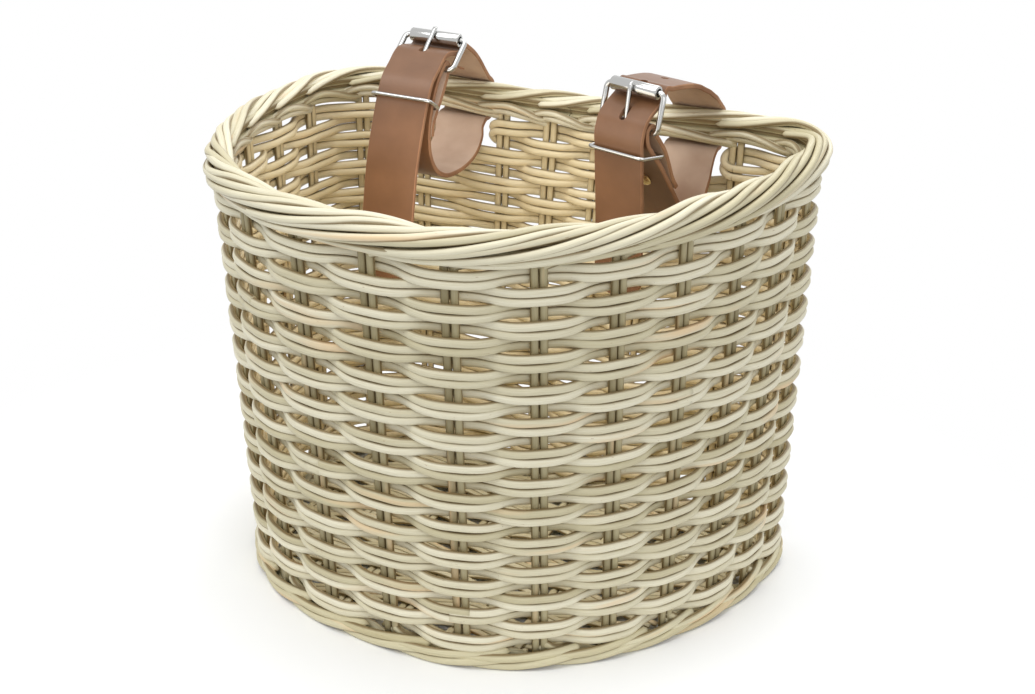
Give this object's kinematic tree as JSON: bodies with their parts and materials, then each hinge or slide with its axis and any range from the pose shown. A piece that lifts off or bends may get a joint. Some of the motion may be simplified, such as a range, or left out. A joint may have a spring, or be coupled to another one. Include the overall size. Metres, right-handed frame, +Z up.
{
  "type": "bicycle basket",
  "caption": "Hand-woven cane basket with a flat back, a round front, a rolled rim and leather buckle straps for a handlebar.",
  "frame": {"origin": "on the ground under the middle of the box round the basket and its straps", "axes": "+Z up, +Y towards the flat back with the straps, the round front faces -Y, +X to the right seen from the front"},
  "size_m": [0.2534, 0.2096, 0.2326],
  "materials": {
    "cane": "natural peeled cane, dull",
    "pale_cane": "natural peeled cane, slightly glossy",
    "leather": "smooth brown leather, suede on the inside",
    "buckle_steel": "bright plated steel",
    "brass": "bright brass cap"
  },
  "bodies": {
    "basket": {"upright_pair_01": "cane", "upright_pair_02": "cane", "upright_pair_03": "cane", "upright_pair_04": "cane", "upright_pair_05": "cane", "upright_pair_06": "cane", "upright_pair_07": "cane", "upright_pair_08": "cane", "upright_pair_09": "cane", "upright_pair_10": "cane", "upright_pair_11": "cane", "upright_pair_12": "cane", "upright_pair_13": "cane", "upright_pair_14": "cane", "upright_pair_15": "cane", "upright_pair_16": "cane", "upright_pair_17": "cane", "upright_pair_18": "cane", "upright_pair_19": "cane", "upright_pair_20": "cane", "upright_pair_21": "cane", "upright_pair_22": "cane", "upright_pair_23": "cane", "weaver_length_1": "pale_cane", "weaver_length_2": "pale_cane", "weaver_length_3": "pale_cane", "weaver_length_4": "pale_cane", "weaver_length_5": "pale_cane", "slot_weaver_front": "pale_cane", "slot_weaver_back": "pale_cane", "rolled_rim_border": "pale_cane", "foot_border": "cane", "woven_base": "cane", "left_strap": "leather", "left_rivet": "brass", "right_strap": "leather", "right_rivet": "brass"},
    "left_buckle": {"left_buckle_frame": "buckle_steel"},
    "left_roller": {"left_roller": "buckle_steel"},
    "left_prong": {"left_prong": "buckle_steel"},
    "left_keeper": {"left_keeper": "buckle_steel"},
    "right_buckle": {"right_buckle_frame": "buckle_steel"},
    "right_roller": {"right_roller": "buckle_steel"},
    "right_prong": {"right_prong": "buckle_steel"},
    "right_keeper": {"right_keeper": "buckle_steel"}
  },
  "joints": [
    {"name": "left_buckle_tilt", "type": "hinge", "parent": "basket", "child": "left_buckle", "pos_m": [-0.05375, 0.0463, 0.217], "axis": [1, 0, 0], "range_deg": [0, 6]},
    {"name": "left_roller_spin", "type": "hinge", "parent": "left_buckle", "child": "left_roller", "pos_m": [-0.05375, 0.05985, 0.22726], "axis": [1, 0, 0], "continuous": true},
    {"name": "left_prong_lift", "type": "hinge", "parent": "left_buckle", "child": "left_prong", "pos_m": [-0.05375, 0.0463, 0.217], "axis": [1, 0, 0], "range_deg": [0, 14]},
    {"name": "left_keeper_slide", "type": "slide", "parent": "basket", "child": "left_keeper", "axis": [0, 0.5, 0.866], "range_m": [0, 0.005]},
    {"name": "right_buckle_tilt", "type": "hinge", "parent": "basket", "child": "right_buckle", "pos_m": [0.04776, 0.03957, 0.206], "axis": [0.9613, -0.2756, 0], "range_deg": [0, 6]},
    {"name": "right_roller_spin", "type": "hinge", "parent": "right_buckle", "child": "right_roller", "pos_m": [0.04873, 0.04294, 0.22263], "axis": [0.9613, -0.2756, 0], "continuous": true},
    {"name": "right_prong_lift", "type": "hinge", "parent": "right_buckle", "child": "right_prong", "pos_m": [0.04776, 0.03957, 0.206], "axis": [0.9613, -0.2756, 0], "range_deg": [0, 14]},
    {"name": "right_keeper_slide", "type": "slide", "parent": "basket", "child": "right_keeper", "axis": [-0.1654, -0.5768, 0.8], "range_m": [0, 0.005]}
  ]
}
